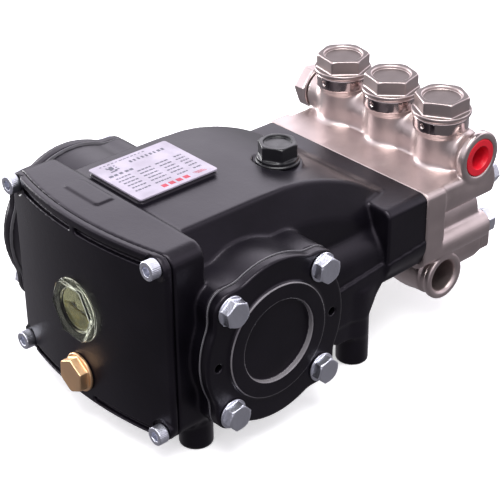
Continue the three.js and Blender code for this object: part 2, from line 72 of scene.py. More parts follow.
OUTLET_Y, OUTLET_Z, OUTLET_X = 164.2, 39.1, 64.3
INLET_Y, INLET_Z, INLET_X = 143.0, -29.5, 62.1
OUTLET, INLET = (OUTLET_Y, OUTLET_Z), (INLET_Y, INLET_Z)
INLET_BORE, INLET_MOUTH = 9.4, 11
INLET_VALVE_Z, WET_FRONT, INLET_FRONT = -26.0, 178.0, 182.5
WET_BOLTS = list(itertools.product((-55.5, -19.35, 19.35, 55.5), (21.0, -10.0)))
SIGHT_Z, DRAIN_Z = 8.9, -28.8
FILLER, FILLER_SEAT = (15.0, 58.0), 55.4
BOLT_HOLE, WASHER_RADIUS = 4.3, 8.0
LUGS = [(y, z) for y in (-LUG_OFFSET, LUG_OFFSET) for z in (-LUG_OFFSET, LUG_OFFSET)]
COVER_SCREWS = [(-57.6, 56.0), (57.6, 56.0), (-57.6, -39.5), (57.6, -39.5)]
COVER_SCREW_Y, SCREW_HOLE, BOX_CORNER = -57.5, 3.3, 8
SHAFT_END, SHAFT_BACK, CRANK_THROW = -134.5, 66.8, 5.5
SHAFT_RADIUS, SEAT_RADIUS, ECCENTRIC_RADIUS = 11.9, 14.9, 20.4
SHOULDER_HALF, SHOULDER_SLOPE = 52.0, 0.39
INNER_BOW = COVER_BOW - COVER_THICKNESS
COVER_SEAT_Y = BOW_Y - COVER_BOW - GAP
GALLERY_PLUG_X = -64.0
RING_INNER, RING_OUTER, RING_HEIGHT = 22.7, 31.5, 1.8
BEARING_SEAT, SEAL_BORE, COVER_WELL, COVER_EDGE = 31.5, 20, 67.5, 1.1
NAMEPLATE_LOW, NAMEPLATE_HIGH, NAMEPLATE_SEAT = (-33.5, -29.5), (10.5, 21), BODY_TOP + 1.9
SIGHT_BORE, DRAIN_BORE, WINDOW_RADIUS = 12.4, 6.9, 11.8
FOOT_HOLE, FOOT_HOLE_DEPTH, FILLER_FACE = 3.4, 14, 13.5
JOINT_TOOL = 250


# ---- Distance fields ----
class Grid:
    """Evenly spaced points of a box, whose coordinates broadcast against each other."""

    def __init__(self, low, high, step):
        self.low = np.array(low, np.float32) - 2 * step
        self.step = step
        counts = np.ceil((np.array(high) + 2 * step - self.low) / step).astype(int) + 1
        self.shape = tuple(counts)
        x, y, z = (
            (self.low[i] + step * np.arange(counts[i])).astype(np.float32)
            for i in range(3)
        )
        self.x = x[:, None, None]
        self.y = y[None, :, None]
        self.z = z[None, None, :]

    def across(self, axis):
        """The two coordinates across an axis, and the one along it."""
        return {
            "X": (self.y, self.z, self.x),
            "Y": (self.x, self.z, self.y),
            "Z": (self.x, self.y, self.z),
        }[axis]


def slab(place, low, high):
    """Distance to the layer between two places along an axis."""
    return np.abs(place - (low + high) / 2) - (high - low) / 2


def meet(a, b, radius=0.0):
    """What lies in both, with the edge between them rounded to a radius."""
    outside = np.hypot(np.maximum(a + radius, 0), np.maximum(b + radius, 0))
    return np.minimum(np.maximum(a + radius, b + radius), 0) + outside - radius


def blend(a, b, fillet):
    """What lies in either, with a fillet of about that radius where they join."""
    reach = max(fillet / 0.85, 1e-6)
    near = np.maximum(reach - np.abs(a - b), 0) / reach
    return np.minimum(a, b) - near * near * reach / 4


def carve(body, tool, edge=0.0):
    """What is left of a body without the tool, with its new edge eased."""
    return -blend(-body, tool, edge) if edge else np.maximum(body, -tool)


def rod(grid, axis, centre, radius, low, high, edge=0.0):
    """A cylinder along an axis, between two places on it."""
    u, v, w = grid.across(axis)
    around = np.hypot(u - centre[0], v - centre[1]) - radius
    return meet(around, slab(w, low, high), edge)


def bored(grid, body, holes):
    """A body without its round holes, each (axis, centre, radius, low, high, edge or none)."""
    for hole in holes:
        edge = hole[5] if len(hole) > 5 else 0.0
        body = carve(body, rod(grid, *hole[:5]), edge)
    return body


def rounded_rectangle(u, v, low, high, radius):
    """Distance to a rectangle from corner low to corner high, in a plane."""
    middle = [(a + b) / 2 for a, b in zip(low, high)]
    half = [(b - a) / 2 for a, b in zip(low, high)]
    return meet(np.abs(u - middle[0]) - half[0], np.abs(v - middle[1]) - half[1], radius)


def polygon(u, v, corners):
    """Distance to a polygon in a plane, negative inside it."""
    nearest = np.float32(1e9)
    inside = np.zeros(np.broadcast(u, v).shape, bool)
    for (au, av), (bu, bv) in zip(corners, corners[1:] + corners[:1]):
        eu, ev = bu - au, bv - av
        share = np.clip(((u - au) * eu + (v - av) * ev) / (eu * eu + ev * ev), 0, 1)
        gap = np.hypot(u - au - share * eu, v - av - share * ev)
        nearest = np.minimum(nearest, gap)
        if ev:
            crosses = (av > v) != (bv > v)
            inside ^= crosses & (u < au + (v - av) * eu / ev)
    return np.where(inside, -nearest, nearest).astype(np.float32)


def turned(grid, axis, centre, profile):
    """A turned solid. The profile is a list of (radius, place along the axis)."""
    u, v, w = grid.across(axis)
    radius = np.hypot(u - centre[0], v - centre[1])
    deep = [(r if r > 0 else -5.0, p) for r, p in profile]
    return polygon(radius, w, deep)


def hexagon(u, v, flats):
    """Distance to a hexagon across its flats, in a plane."""
    turns = [k * math.pi / 3 for k in range(6)]
    sides = [u * math.cos(turn) + v * math.sin(turn) for turn in turns]
    field = sides[0]
    for side in sides[1:]:
        field = np.maximum(field, side)
    return field - flats / 2


CORNERS = list(itertools.product((0, 1), repeat=3))


def surface(grid, field):
    """Points and four-sided faces of the surface on which the field is zero."""
    field = np.broadcast_to(field, grid.shape)
    inside = field < 0
    cell_shape = tuple(n - 1 for n in grid.shape)
    count = np.zeros(cell_shape, np.int8)
    for i, j, k in CORNERS:
        a, b, c = cell_shape
        count += inside[i : i + a, j : j + b, k : k + c]
    cells = np.argwhere((count > 0) & (count < 8))
    index = np.full(cell_shape, -1, np.int64)
    index[tuple(cells.T)] = np.arange(len(cells))
    total = np.zeros((len(cells), 3))
    crossings = np.zeros((len(cells), 1))
    for axis, corner in itertools.product(range(3), CORNERS):
        if corner[axis]:
            continue
        along = np.eye(3, dtype=int)[axis]
        near = cells + np.array(corner)
        here = field[tuple(near.T)]
        there = field[tuple((near + along).T)]
        crossed = (here < 0) != (there < 0)
        share = here[crossed] / (here[crossed] - there[crossed])
        total[crossed] += near[crossed] + share[:, None] * along
        crossings[crossed] += 1
    points = grid.low + grid.step * total / crossings
    faces = []
    for axis in range(3):
        side = [np.eye(3, dtype=int)[(axis + n) % 3] for n in (1, 2)]
        ends = [
            np.take(inside, np.arange(n, grid.shape[axis] - 1 + n), axis) for n in (0, 1)
        ]
        edges = np.argwhere(ends[0] != ends[1])
        outwards = ends[0][tuple(edges.T)]
        ring = [
            index[tuple((edges - shift).T)]
            for shift in (side[0] + side[1], side[1], side[0] * 0, side[0])
        ]
        quads = np.stack(ring, 1)
        quads[~outwards] = quads[~outwards][:, ::-1]
        faces.append(quads)
    return points, np.concatenate(faces)


# ---- Objects ----
def new_object(name, data):
    """A new object in the scene."""
    made = bpy.data.objects.new(name, data)
    bpy.context.scene.collection.objects.link(made)
    return made


def mesh_object(name, points, faces, material, sharp_degrees=40.0):
    """An object from points in design mm, smooth but for its sharp edges."""
    mesh = bpy.data.meshes.new(name)
    placed = np.asarray(points, float) * MM + np.array(ORIGIN)
    mesh.from_pydata(placed, [], faces)
    mesh.shade_smooth()
    if sharp_degrees:
        mesh.set_sharp_from_angle(angle=math.radians(sharp_degrees))
    mesh.materials.append(material)
    return new_object(name, mesh)


def from_field(name, grid, field, material):
    """A smooth object on the surface where the field is zero."""
    points, faces = surface(grid, field)
    return mesh_object(name, points, faces, material, 0)


def bands(count, links):
    """Four-sided faces between rings of count points, for pairs of ring numbers."""
    steps = [(k, (k + 1) % count) for k in range(count)]
    return [
        (a * count + k, a * count + after, b * count + after, b * count + k)
        for a, b in links
        for k, after in steps
    ]


def place_copy(name, source, matrix):
    """Another object with the source's mesh, moved by a matrix in design mm."""
    made = new_object(name, source.data)
    to_design = Matrix.Translation(ORIGIN) @ Matrix.Scale(MM, 4)
    made.matrix_world = to_design @ matrix @ to_design.inverted()
    return made


def settle(made, slot_name, *nodes, body="pump_body"):
    """Ties a finished piece to its body and hides the nodes it stands for. The slot name is not
    used.
    """
    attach(made, body)
    if nodes:
        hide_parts(*nodes)


TURN = {
    "+X": Quaternion((0, 1, 0), math.pi / 2),
    "-X": Quaternion((0, 1, 0), -math.pi / 2),
    "+Y": Quaternion((1, 0, 0), -math.pi / 2),
    "-Y": Quaternion((1, 0, 0), math.pi / 2),
    "+Z": Quaternion(),
}


def seated(direction, place, spin_degrees=0.0):
    """Stands a fastener, made with its head towards +Z, on a place, facing a direction."""
    spin = Quaternion((0, 0, 1), math.radians(spin_degrees))
    return Matrix.Translation(place) @ (TURN[direction] @ spin).to_matrix().to_4x4()


def seat_piece(name, grid, field, material, place):
    """An object made with its seat at the origin, then stood in its place."""
    pattern = from_field(name + "_pattern", grid, field, material)
    made = place_copy(name, pattern, place)
    bpy.data.objects.remove(pattern)
    return made


def drill(target, tools):
    """Cuts round holes, each (axis, centre, radius, low, high), out of a dense mesh."""
    steps = 96
    for axis, centre, radius, low, high in tools:
        angles = np.arange(steps) * 2 * math.pi / steps
        u = centre[0] + radius * np.cos(angles)
        v = centre[1] + radius * np.sin(angles)
        ends = [np.stack([u, v, np.full(steps, w)], 1) for w in (low, high)]
        order = {"X": [2, 0, 1], "Y": [0, 2, 1], "Z": [0, 1, 2]}[axis]
        points = np.concatenate(ends)[:, order]
        caps = [tuple(range(steps))[::-1], tuple(range(steps, 2 * steps))]
        faces = bands(steps, [(0, 1)]) + caps
        if axis == "Y":
            faces = [face[::-1] for face in faces]
        tool = mesh_object("tool", points, faces, target.data.materials[0], 0)
        cutter = target.modifiers.new("cut", "BOOLEAN")
        cutter.operation = "DIFFERENCE"
        cutter.solver = "MANIFOLD"
        cutter.object = tool
        settled = bpy.data.meshes.new_from_object(
            target.evaluated_get(bpy.context.evaluated_depsgraph_get())
        )
        target.modifiers.clear()
        spare = target.data
        target.data = settled
        settled.name = target.name
        bpy.data.meshes.remove(spare)
        bpy.data.objects.remove(tool)


# ---- Materials ----
class Tree:
    """A node tree, with short ways to add what the finishes and the studio need."""

    def __init__(self, tree):
        self.tree = tree

    def add(self, kind, **settings):
        node = self.tree.nodes.new(kind)
        for key, value in settings.items():
            setattr(node, key, value)
        return node

    def link(self, a, b):
        self.tree.links.new(a, b)

    def spread(self, value, low, high, new_low, new_high):
        """The value, stretched from one range to another and kept inside it."""
        node = self.add("ShaderNodeMapRange")
        numbers = (low, high, new_low, new_high)
        for name, number in zip(("From Min", "From Max", "To Min", "To Max"), numbers):
            node.inputs[name].default_value = number
        self.link(value, node.inputs["Value"])
        return node.outputs["Result"]

    def math(self, operation, a, b=None):
        node = self.add("ShaderNodeMath", operation=operation)
        for socket, value in zip(node.inputs, (a, b)):
            if isinstance(value, (int, float)):
                socket.default_value = value
            elif value is not None:
                self.link(value, socket)
        return node.outputs[0]

    def parts(self, vector):
        """The X, Y and Z of a vector."""
        node = self.add("ShaderNodeSeparateXYZ")
        self.link(vector, node.inputs[0])
        return node.outputs

    def mix(self, share, a, b):
        node = self.add("ShaderNodeMix", data_type="RGBA")
        self.link(share, node.inputs["Factor"])
        for socket, value in ((node.inputs[6], a), (node.inputs[7], b)):
            if isinstance(value, tuple):
                socket.default_value = (*value, 1)
            else:
                self.link(value, socket)
        return node.outputs[2]


class Finish(Tree):
    """A material and what the finishes add to its shader. A colour is (red, green, blue)."""

    def __init__(self, name, **settings):
        self.material = bpy.data.materials.new(name)
        self.material.use_nodes = True
        super().__init__(self.material.node_tree)
        self.shader = self.tree.nodes["Principled BSDF"]
        for socket, value in settings.items():
            self.set(socket.replace("_", " "), value)
        self.place = self.add("ShaderNodeTexCoord").outputs["Object"]

    def set(self, socket, value):
        if isinstance(value, tuple):
            value = (*value, 1)
        self.shader.inputs[socket].default_value = value

    def noise(self, per_metre, detail=3.0):
        node = self.add("ShaderNodeTexNoise")
        node.inputs["Scale"].default_value = per_metre
        node.inputs["Detail"].default_value = detail
        self.link(self.place, node.inputs["Vector"])
        return node.outputs["Fac"]

    def mottle(self, tone, dullness, per_metre):
        """A tone with cloudy patches that are duller by a factor."""
        share = self.spread(self.noise(per_metre), 0.35, 0.65, 0, 1)
        return self.mix(share, dimmed(tone, dullness), tone)

    def gloss(self, roughness, per_metre, detail=3.0):
        """A roughness that wanders a little round a value."""
        low, high = roughness - 0.04, roughness + 0.08
        return self.spread(self.noise(per_metre, detail), 0.3, 0.7, low, high)

    def bump(self, height, distance, strength=1.0, under=None):
        node = self.add("ShaderNodeBump")
        node.inputs["Distance"].default_value = distance
        node.inputs["Strength"].default_value = strength
        self.link(height, node.inputs["Height"])
        if under is not None:
            self.link(under, node.inputs["Normal"])
        return node.outputs["Normal"]

    def use(self, socket, value):
        self.link(value, self.shader.inputs[socket])


def dimmed(tone, factor):
    return tuple(factor * part for part in tone)


def black_paint(name, extra=None):
    """Satin black paint over a die casting: fine orange peel and a faint violet tint."""
    made = Finish(name, Base_Color=(0.02, 0.018, 0.024), Roughness=0.38)
    grain = made.noise(900, 4)
    peel = made.noise(260, 2)
    cloud = made.noise(22, 3)
    patches = made.spread(cloud, 0.3, 0.7, 0, 1)
    shade = made.mix(patches, (0.002, 0.0017, 0.003), (0.006, 0.005, 0.008))
    if extra:
        shade = extra(made, shade)
    made.use("Base Color", shade)
    made.use("Roughness", made.spread(cloud, 0.3, 0.7, 0.27, 0.38))
    rough = made.bump(grain, 0.00006, 0.5)
    made.use("Normal", made.bump(peel, 0.00012, 0.35, rough))
    made.set("Specular IOR Level", 0.34)
    made.set("Specular Tint", (0.96, 0.88, 1.0))
    return made


METAL_DULLNESS, METAL_PATCHES = 0.86, 45


def metal(name, tone, roughness, grain_depth, grain_scale, painted_top_shade=1.0):
    """Bare or plated metal, a little uneven in tone and gloss; its upward faces can be rougher and
    darkened by painted shade.
    """
    made = Finish(name, Base_Color=tone, Metallic=1.0, Roughness=roughness)
    shade = made.mottle(tone, METAL_DULLNESS, METAL_PATCHES)
    gloss = made.gloss(roughness, 120, 4)
    # Painted shade: faces turned upwards get a darker tone, a share of the given one, and a
    # rougher gloss.
    if painted_top_shade < 1:
        facing = made.parts(made.add("ShaderNodeNewGeometry").outputs["Normal"])
        upwards = made.spread(facing[2], 0.85, 0.98, 0, 1)
        shade = made.mix(upwards, shade, dimmed(tone, painted_top_shade))
        gloss = made.math("ADD", gloss, made.math("MULTIPLY", upwards, 0.2))
    made.use("Base Color", shade)
    made.use("Roughness", gloss)
    made.use("Normal", made.bump(made.noise(grain_scale, 3), grain_depth, 0.6))
    return made.material


def plastic(name, tone, roughness, grain_depth=0.00004):
    """A plain plastic, rubber, film or ceramic, a little uneven in tone and gloss."""
    made = Finish(name, Base_Color=tone, Roughness=roughness)
    made.use("Base Color", made.mottle(tone, 0.8, 90))
    made.use("Roughness", made.gloss(roughness, 200))
    made.use("Normal", made.bump(made.noise(700), grain_depth, 0.5))
    return made.material


def polished_collars():
    """The wet end's plating, smoother on the turned collars under the valve caps."""
    made = Finish("wet_end_nickel", Base_Color=NICKEL_TONE, Metallic=1.0, Roughness=0.3)
    made.use("Base Color", made.mottle(NICKEL_TONE, METAL_DULLNESS, METAL_PATCHES))
    edge = ORIGIN.z + (COLLAR_LOW + 0.4) * MM
    collar = made.spread(made.parts(made.place)[2], edge, edge + 0.3 * MM, 0, 1)
    rough = made.spread(made.noise(120, 4), 0.3, 0.7, 0.38, 0.48)
    made.use("Roughness", made.math("SUBTRACT", rough, made.math("MULTIPLY", collar, 0.3)))
    made.use("Normal", made.bump(made.noise(1100, 3), 0.00002, 0.5))
    return made.material


NICKEL_TONE = (0.6, 0.51, 0.495)
PAINT = black_paint("black_paint").material
WET_END_NICKEL = polished_collars()
NICKEL = metal("satin_nickel", NICKEL_TONE, 0.3, 0.00002, 900)
# The caps' upward faces carry painted shade, darkened to 0.3 of the nickel tone.
CAP_NICKEL = metal("cap_nickel", NICKEL_TONE, 0.36, 0.00002, 900, painted_top_shade=0.3)
ZINC = metal("zinc_plate", (0.8, 0.82, 0.9), 0.3, 0.0003, 900)
STEEL = metal("ground_steel", (0.5, 0.51, 0.53), 0.28, 0.00002, 600)
ALUMINIUM = metal("bare_aluminium", (0.62, 0.62, 0.64), 0.42, 0.00006, 900)
BRASS = metal("brass", (1.0, 0.66, 0.38), 0.4, 0.00002, 800)
RUBBER = plastic("rubber", (0.016, 0.016, 0.017), 0.7)
BLACK_PLASTIC = plastic("black_plastic", (0.008, 0.008, 0.01), 0.3)
RED_PLASTIC = plastic("red_plastic", (0.8, 0.012, 0.03), 0.3)
CERAMIC = plastic("ceramic", (0.8, 0.79, 0.74), 0.15, 0.00001)
FILM = plastic("label_film", (0.4, 0.36, 0.44), 0.45, 0.00001)
PRINT = plastic("label_print", (0.09, 0.09, 0.12), 0.5, 0.00001)
PRINT_RED = plastic("label_print_red", (0.42, 0.03, 0.06), 0.5, 0.00001)
GASKET = plastic("gasket", (0.2, 0.195, 0.21), 0.5)
GOLD = metal("gilt_reflector", (0.5, 0.46, 0.36), 0.2, 0.0003, 260)


def bare_edge_and_highlight_circles(made, shade):
    """Two thin grey circles on the blind cover's raised ring: bare metal on its machined outer
    edge, and a painted highlight on its lit inner edge.
    """
    x, y, z = made.parts(made.place)
    across = made.math("SUBTRACT", y, ORIGIN.y)
    up = made.math("SUBTRACT", z, ORIGIN.z)
    squares = [made.math("MULTIPLY", part, part) for part in (across, up)]
    radius = made.math("SQRT", made.math("ADD", *squares))
    proud = made.math("GREATER_THAN", x, ORIGIN.x + (BLIND_X - 1.2) * MM)
    half_width = 0.28 * MM
    # The inner circle is a painted highlight, the outer one a bare machined edge.
    for circle in (RING_INNER + 0.2, RING_OUTER - 0.15):
        off = made.math("ABSOLUTE", made.math("SUBTRACT", radius, circle * MM))
        line = made.math("MULTIPLY", made.math("LESS_THAN", off, half_width), proud)
        shade = made.mix(line, shade, (0.2, 0.19, 0.2))
    return shade


COVER_PAINT = black_paint("blind_cover_paint", bare_edge_and_highlight_circles).material

# ---- Crankcase ----
BODY_SIDE = [
    (BOX_FRONT - 6, -20), (BOX_FRONT - 6, BODY_TOP), (22, BODY_TOP), (41, 58.6), (52, 56.8),
    (61, 54.4), (69.5, 51.6), (81, 46.8), (92, 41), (101, 34.8), (108, FLANGE_TOP - 0.5),
    (108, -16),
]
FLANK_SIDE = [(34, -28), (34, -7.6), (124, 2.8), (124, -12), (92, -13), (80, -28)]
FLANK_HALF = 62.2
GUSSET_SIDE = [(46, -31), (77, -17), (80, -17), (80, -40), (60, -40)]
FLANGE_LEDGE = [(80, 60), (80, -2.3), (130, 3.5), (130, 60)]


def body_field(grid):
    """The hump over the crank: a smooth arched top, sloping shoulders, upright walls."""
    crown = [corner for corner in BODY_SIDE if corner[1] > 0]
    places = np.arange(crown[0][0], crown[-1][0] + 1)
    heights = np.interp(places, [y for y, _ in crown], [z for _, z in crown])
    reach = 8
    window = np.hanning(2 * reach + 1)
    padded = np.pad(heights, reach, mode="reflect", reflect_type="odd")
    heights = np.convolve(padded, window / window.sum(), mode="valid")
    side = [(places[0], -20), *zip(places, heights), (places[-1], -16)]
    top = np.interp(grid.y, places, heights)
    depth = top.astype(np.float32) - grid.z
    lean = math.hypot(1, SHOULDER_SLOPE)
    shoulder = (np.abs(grid.x) - BODY_HALF - SHOULDER_SLOPE * depth) / lean
    walls = meet(shoulder, np.abs(grid.x) - SHOULDER_HALF, 1.0)
    return meet(polygon(grid.y, grid.z, side), walls, 1.2)


def flange_outline(grid, upper):
    """The wet end flange seen along Y: large lower corners, smaller upper ones."""
    low, high = (-FLANGE_HALF, FLANGE_LOW), (FLANGE_HALF, FLANGE_TOP)
    wide = rounded_rectangle(grid.x, grid.z, low, high, 17)
    tight = rounded_rectangle(grid.x, grid.z, low, high, upper)
    return np.where(grid.z < 0, wide, tight)


def box_outline(grid):
    """The rear box and its cover seen along Y."""
    low, high = (-BOX_HALF, BOX_LOW), (BOX_HALF, BOX_TOP)
    return rounded_rectangle(grid.x, grid.z, low, high, BOX_CORNER)


def bearing_boss(grid, low, high):
    """The thick disc with four lugs that carries both bearing covers."""
    boss = rod(grid, "X", (0, 0), BOSS_RADIUS, low, high)
    for at in LUGS:
        boss = blend(boss, rod(grid, "X", at, LUG_RADIUS, low, high), fillet=8.0)
    return boss


def with_feet(grid, casting):
    """Adds the four feet and the web between the front pair."""
    web_outline = rounded_rectangle(grid.x, grid.z, (-FOOT_X, -44), (FOOT_X, -10), 3)
    web = meet(web_outline, slab(grid.y, FRONT_FOOT_Y - 3, FRONT_FOOT_Y + 3), 1.5)
    casting = blend(casting, web, fillet=4.0)
    for x in (-FOOT_X, FOOT_X):
        for y, top, fillet in ((REAR_FOOT_Y, BOX_LOW + 2, 3.0), (FRONT_FOOT_Y, -12, 4.0)):
            foot = rod(grid, "Z", (x, y), FOOT_RADIUS, FOOT_Z, top, edge=0.8)
            casting = blend(casting, foot, fillet)
    return casting


def crankcase_field(grid, boss_low, boss_high):
    """The crankcase casting before its faces are cut and its holes are drilled."""
    spare = 9
    bow = np.hypot(grid.x, grid.y - BOW_Y) - (INNER_BOW - GAP)
    box = np.maximum(meet(box_outline(grid), grid.y - BOX_FRONT, 2.4), bow)
    casting = blend(box, body_field(grid), fillet=2.0)
    flange_depth = slab(grid.y, FLANGE_BACK, JOINT_Y + spare)
    flange = meet(flange_outline(grid, 6.5), flange_depth, 1.6)
    above_ledge = polygon(grid.y, grid.z, FLANGE_LEDGE)
    flange = carve(flange, np.maximum(above_ledge, FLANGE_HALF - 0.9 - np.abs(grid.x)))
    casting = blend(casting, flange, fillet=2.2)
    for x in CYLINDERS:
        tube = rod(grid, "Y", (x, 0), GUIDE_TUBE, 28, JOINT_Y - 3)
        casting = blend(casting, tube, fillet=2.5)
    flank = meet(polygon(grid.y, grid.z, FLANK_SIDE), np.abs(grid.x) - FLANK_HALF, 0.7)
    casting = blend(casting, flank, fillet=1.0)
    for side in (-1, 1):
        gusset_width = slab(side * grid.x, 50, 61)
        gusset = meet(polygon(grid.y, grid.z, GUSSET_SIDE), gusset_width, 1.0)
        casting = blend(casting, gusset, fillet=1.5)
    boss = bearing_boss(grid, boss_low - spare, boss_high + spare)
    casting = with_feet(grid, blend(casting, boss, fillet=1.2))

    filler = rod(grid, "Z", FILLER, FILLER_FACE, 44, FILLER_SEAT, edge=0.5)
    casting = blend(casting, filler, fillet=2.0)
    seat = rounded_rectangle(grid.x, grid.y, (-33, -29), (10, 20.5), 2.0)
    seat = meet(seat, slab(grid.z, 50, NAMEPLATE_SEAT), 0.5)
    casting = blend(casting, seat, fillet=0.8)
    panel = rounded_rectangle(grid.x, grid.y, (-29, -48), (-1, -36.6), 2)
    panel = meet(panel, slab(grid.z, BOX_TOP - 4, BOX_TOP + 0.7), 0.2)
    return np.minimum(casting, panel)


def build_crankcase():
    low = (SHAFT_X + COVER_FLANGE, -70, FOOT_Z)
    high = (BLIND_X - COVER_FLANGE, JOINT_Y + 2, 63)
    grid = Grid(low, high, 0.9)
    boss_low = low[0] + GAP
    boss_high = high[0] - GAP
    casting = crankcase_field(grid, boss_low, boss_high)
    filler_face = rod(grid, "Z", FILLER, FILLER_FACE, FILLER_SEAT, 70)
    casting = carve(casting, filler_face, edge=0.6)
    casting = np.maximum(casting, slab(grid.x, boss_low, boss_high))
    casting = np.maximum(casting, grid.y - JOINT_Y - 1.5)
    made = from_field("crankcase_casting", grid, casting, PAINT)
    holes = [
        ("Y", (0, 0), JOINT_TOOL, JOINT_Y, JOINT_Y + 9),
        ("X", (0, 0), CRANK_BORE, -100, 100),
        ("Y", (0, 3), 34, -75, -20),
        ("Z", FILLER, 8, 30, 60),
    ]
    holes += [("Y", (x, 0), GUIDE_BORE, 20, 92) for x in CYLINDERS]
    holes += [("Y", (x, 0), 10.6, 80, 124) for x in CYLINDERS]
    holes += [("X", at, BOLT_HOLE, 48, 80) for at in LUGS]
    holes += [("X", at, BOLT_HOLE, -98, -66) for at in LUGS]
    holes += [("Y", at, BOLT_HOLE, 103, 124) for at in WET_BOLTS]
    holes += [("Y", at, SCREW_HOLE, -60, -40) for at in COVER_SCREWS]
    feet = itertools.product((-FOOT_X, FOOT_X), (REAR_FOOT_Y, FRONT_FOOT_Y))
    holes += [("Z", at, FOOT_HOLE, FOOT_Z - 1, FOOT_Z + FOOT_HOLE_DEPTH) for at in feet]
    drill(made, holes)
    settle(made, "black_casting", "crankcase")


def build_rear_cover():
    """The bowed cover with its screw bosses and the pockets along two of its edges."""
    grid = Grid((-BOX_HALF, -65, BOX_LOW), (BOX_HALF, -52, BOX_TOP), 0.6)
    outline = box_outline(grid)
    bow = np.hypot(grid.x, grid.y - BOW_Y)
    cover = np.maximum(meet(outline, bow - COVER_BOW, 1.3), INNER_BOW - bow)
    for at in COVER_SCREWS:
        boss = meet(rod(grid, "Y", at, 7, COVER_SCREW_Y, -55, edge=0.5), outline)
        cover = blend(cover, boss, fillet=0.8)
        holes = [("Y", at, 7, -70, COVER_SCREW_Y, 0.4), ("Y", at, SCREW_HOLE, -70, -50)]
        cover = bored(grid, cover, holes)
    pocket_floor = COVER_BOW - 2.6 - bow
    for low, high in (
        ((-50, 53.8), (-1.5, 57.2)),
        ((2.5, 53.8), (50, 57.2)),
        ((-50, -43), (-18, -39.8)),
        ((9, -43), (50, -39.8)),
    ):
        mouth = rounded_rectangle(grid.x, grid.z, low, high, 1.2)
        cover = carve(cover, np.maximum(mouth, pocket_floor), edge=0.5)
    holes = [("Y", (0, SIGHT_Z), SIGHT_BORE, -80, -50), ("Y", (0, DRAIN_Z), DRAIN_BORE, -80, -50)]
    cover = np.maximum(bored(grid, cover, holes), grid.y + 52.6)
    made = from_field("rear_cover_casting", grid, cover, PAINT)
    settle(made, "black_casting", "rear_cover")


def cover_outline(y, z):
    """A bearing cover seen along X: a disc with four lugs, filleted together."""
    field = np.hypot(y, z) - (BOSS_RADIUS + 1.2)
    for lug_y, lug_z in LUGS:
        field = blend(field, np.hypot(y - lug_y, z - lug_z) - LUG_RADIUS, fillet=6.0)
    return field


def build_blind_cover():
    """The closed bearing cover with its raised ring and two jacking holes."""
    back, front = BLIND_X - COVER_FLANGE, BLIND_X + RING_HEIGHT
    spigot_low = 49
    grid = Grid((spigot_low, -47, -47), (front, 47, 47), 0.6)
    outline = cover_outline(grid.y, grid.z)
    cover = meet(outline, slab(grid.x, back, BLIND_X), COVER_EDGE)
    spigot = rod(grid, "X", (0, 0), CRANK_BORE - GAP, spigot_low, back + 1)
    ring = rod(grid, "X", (0, 0), RING_OUTER, BLIND_X - 3, front, edge=0.5)
    cover = blend(np.minimum(cover, spigot), ring, fillet=1.6)
    holes = [
        ("X", (0, 0), RING_INNER, BLIND_X - 1.4, 90, 0.5),
        ("X", (0, 0), BEARING_SEAT, 40, COVER_WELL),
    ]
    holes += [("X", at, BOLT_HOLE, 60, 90) for at in LUGS]
    holes += [("X", (y, 0), 2.25, BLIND_X - 4.5, 90, 0.3) for y in (-38, 38)]
    cover = bored(grid, cover, holes)
    made = from_field("blind_cover_casting", grid, cover, COVER_PAINT)
    settle(made, "black_casting", "bearing_cover_blind")


def build_shaft_cover():
    """The open bearing cover with a raised face and flats under its four bolts."""
    back, face = SHAFT_X + COVER_FLANGE, SHAFT_X - 2.9
    spigot_high = -66
    grid = Grid((face, -47, -47), (spigot_high, 47, 47), 0.8)
    outline = cover_outline(grid.y, grid.z)
    cover = meet(outline, slab(grid.x, SHAFT_X, back), COVER_EDGE)
    spigot = rod(grid, "X", (0, 0), CRANK_BORE - GAP, back - 1, spigot_high)
    raised = rod(grid, "X", (0, 0), BOSS_RADIUS, face, SHAFT_X + 3, edge=0.6)
    cover = blend(np.minimum(cover, spigot), raised, fillet=0.6)
    holes = [("X", (0, 0), BEARING_SEAT, -87, -60), ("X", (0, 0), SEAL_BORE, -110, -80)]
    for at in LUGS:
        holes.append(("X", at, WASHER_RADIUS + 0.8, -110, SHAFT_X, 0.5))
        holes.append(("X", at, BOLT_HOLE, -110, -80))
    cover = bored(grid, cover, holes)
    made = from_field("shaft_cover_casting", grid, cover, PAINT)
    settle(made, "black_casting", "bearing_cover_shaft")


def build_gasket(name, low, high):
    """A thin gasket that shows as a light line round the cover's edge."""
    steps = 360
    outer = []
    for k in range(steps):
        angle = 2 * math.pi * k / steps
        ray_y, ray_z = math.cos(angle), math.sin(angle)
        near, far = 30.0, 60.0
        while far - near > 2e-6:
            middle = (near + far) / 2
            if cover_outline(np.float64(middle * ray_y), np.float64(middle * ray_z)) < 0:
                near = middle
            else:
                far = middle
        outer.append((ray_y, ray_z, near + 0.12))
    points = []
    for is_outer, x in ((False, low), (True, low), (True, high), (False, high)):
        for ray_y, ray_z, reach in outer:
            radius = reach if is_outer else CRANK_BORE + 1
            points.append((x, ray_y * radius, ray_z * radius))
    faces = bands(steps, [(0, 1), (1, 2), (2, 3), (3, 0)])
    made = mesh_object(name, points, faces, GASKET)
    settle(made, "aluminium")


